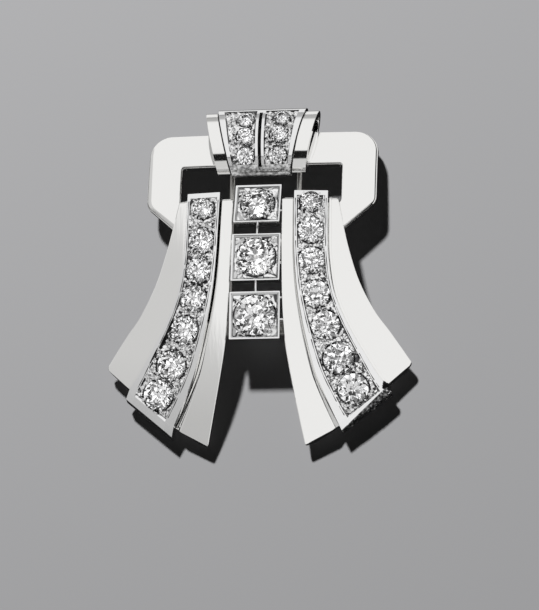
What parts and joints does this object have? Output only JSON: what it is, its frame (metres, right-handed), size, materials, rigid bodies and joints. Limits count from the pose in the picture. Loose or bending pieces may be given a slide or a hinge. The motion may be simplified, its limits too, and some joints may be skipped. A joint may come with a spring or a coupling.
{
  "type": "clip brooch",
  "caption": "Domed buckle-shaped dress clip in polished white metal with two flared ribbon tails, raised diamond strips, square set diamonds and a scroll over the bar.",
  "frame": {"origin": "on the floor that the brooch lies on, under the middle of its outline", "axes": "+Z out of the brooch's face, +Y towards the scroll, +X to the right as the face is looked at"},
  "size_m": [0.036, 0.0406, 0.007],
  "materials": {
    "polished_gold": "mirror polished white gold",
    "setting_metal": "polished platinum with cut beads",
    "clip_metal": "plain polished white gold",
    "diamond": "old cut, clear"
  },
  "bodies": {
    "root": {"polished_mount": "polished_gold", "scroll_panel": "setting_metal", "strip_left": "setting_metal", "strip_right": "setting_metal", "square_line": "setting_metal", "clip_fitting": "clip_metal", "scroll_stone_left_1": "diamond", "scroll_stone_left_2": "diamond", "scroll_stone_left_3": "diamond", "scroll_stone_right_1": "diamond", "scroll_stone_right_2": "diamond", "scroll_stone_right_3": "diamond", "strip_stone_left_1": "diamond", "strip_stone_left_2": "diamond", "strip_stone_left_3": "diamond", "strip_stone_left_4": "diamond", "strip_stone_left_5": "diamond", "strip_stone_left_6": "diamond", "strip_stone_left_7": "diamond", "strip_stone_right_1": "diamond", "strip_stone_right_2": "diamond", "strip_stone_right_3": "diamond", "strip_stone_right_4": "diamond", "strip_stone_right_5": "diamond", "strip_stone_right_6": "diamond", "strip_stone_right_7": "diamond", "square_stone_1": "diamond", "square_stone_2": "diamond", "square_stone_3": "diamond"}
  },
  "joints": []
}
